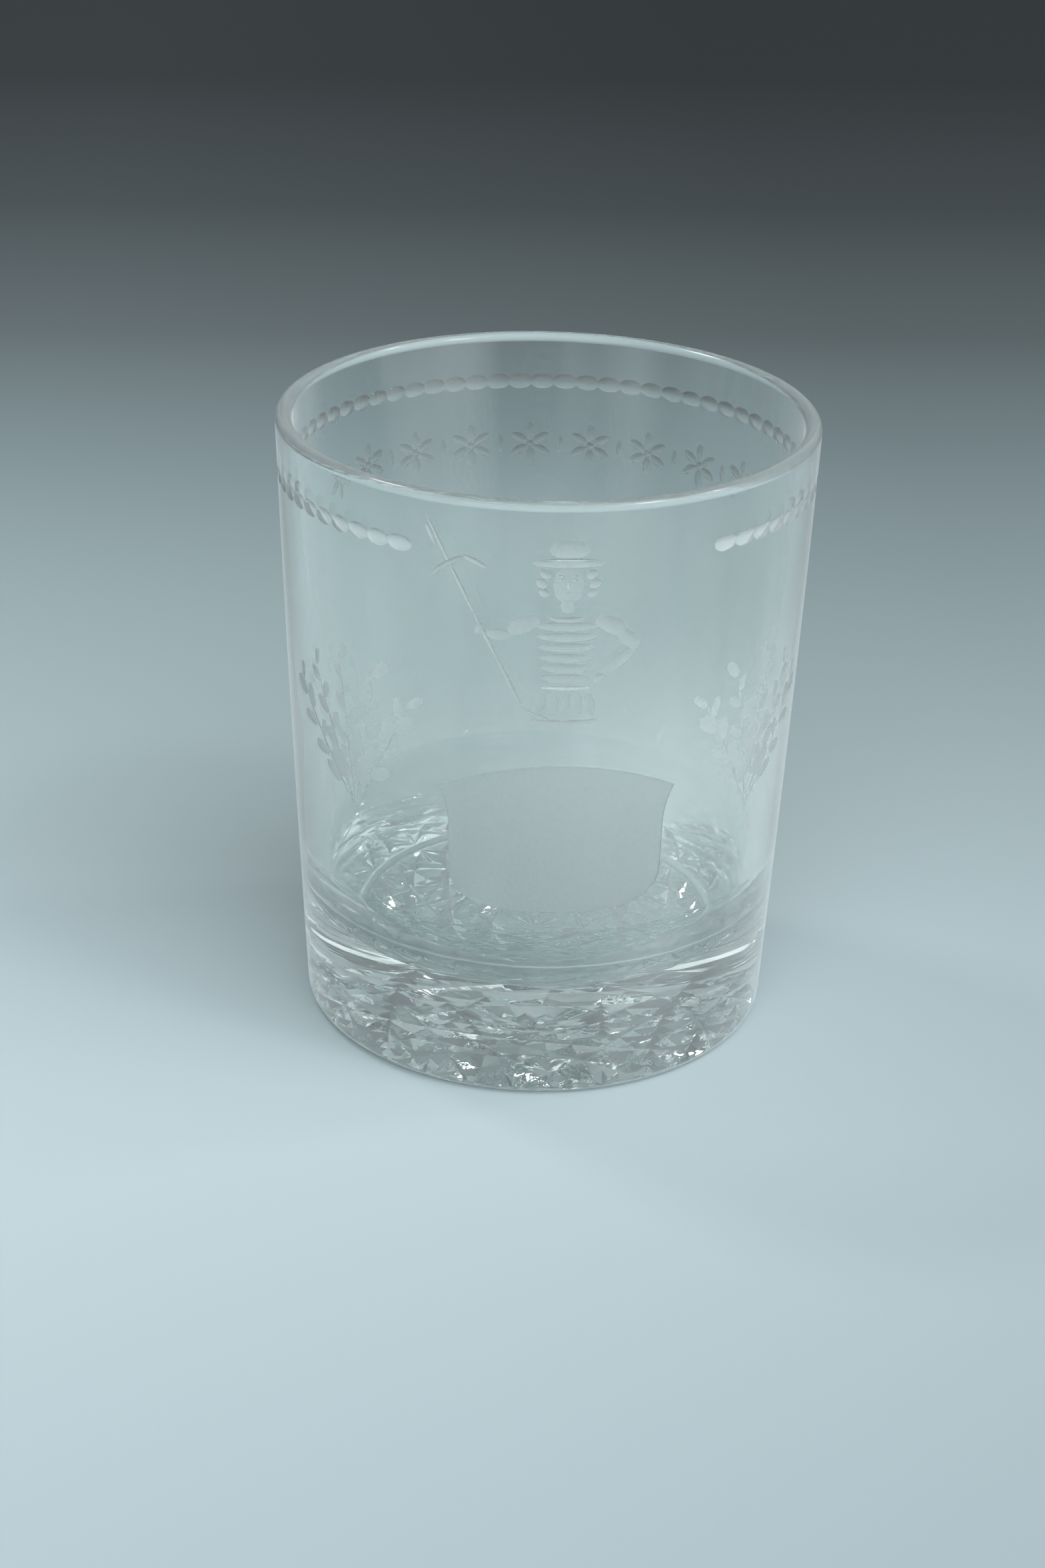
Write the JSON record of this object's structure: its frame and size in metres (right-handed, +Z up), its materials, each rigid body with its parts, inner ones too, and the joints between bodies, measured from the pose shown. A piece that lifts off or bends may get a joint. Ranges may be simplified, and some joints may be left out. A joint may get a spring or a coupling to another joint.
{
  "type": "crystal water glass",
  "caption": "Clear crystal water tumbler with a tapered wall, full-round rim, heavy base with a cut star, and a matte engraved wall.",
  "frame": {"origin": "centre of the flat underside that the glass stands on", "axes": "+Z up along the axis of the glass, -Y towards the engraved front"},
  "size_m": [0.082, 0.082, 0.0975],
  "materials": {
    "crystal": "polished clear lead crystal, bright polished cuts and matte wheel engraving"
  },
  "bodies": {
    "root": {"tumbler": "crystal"}
  },
  "joints": []
}
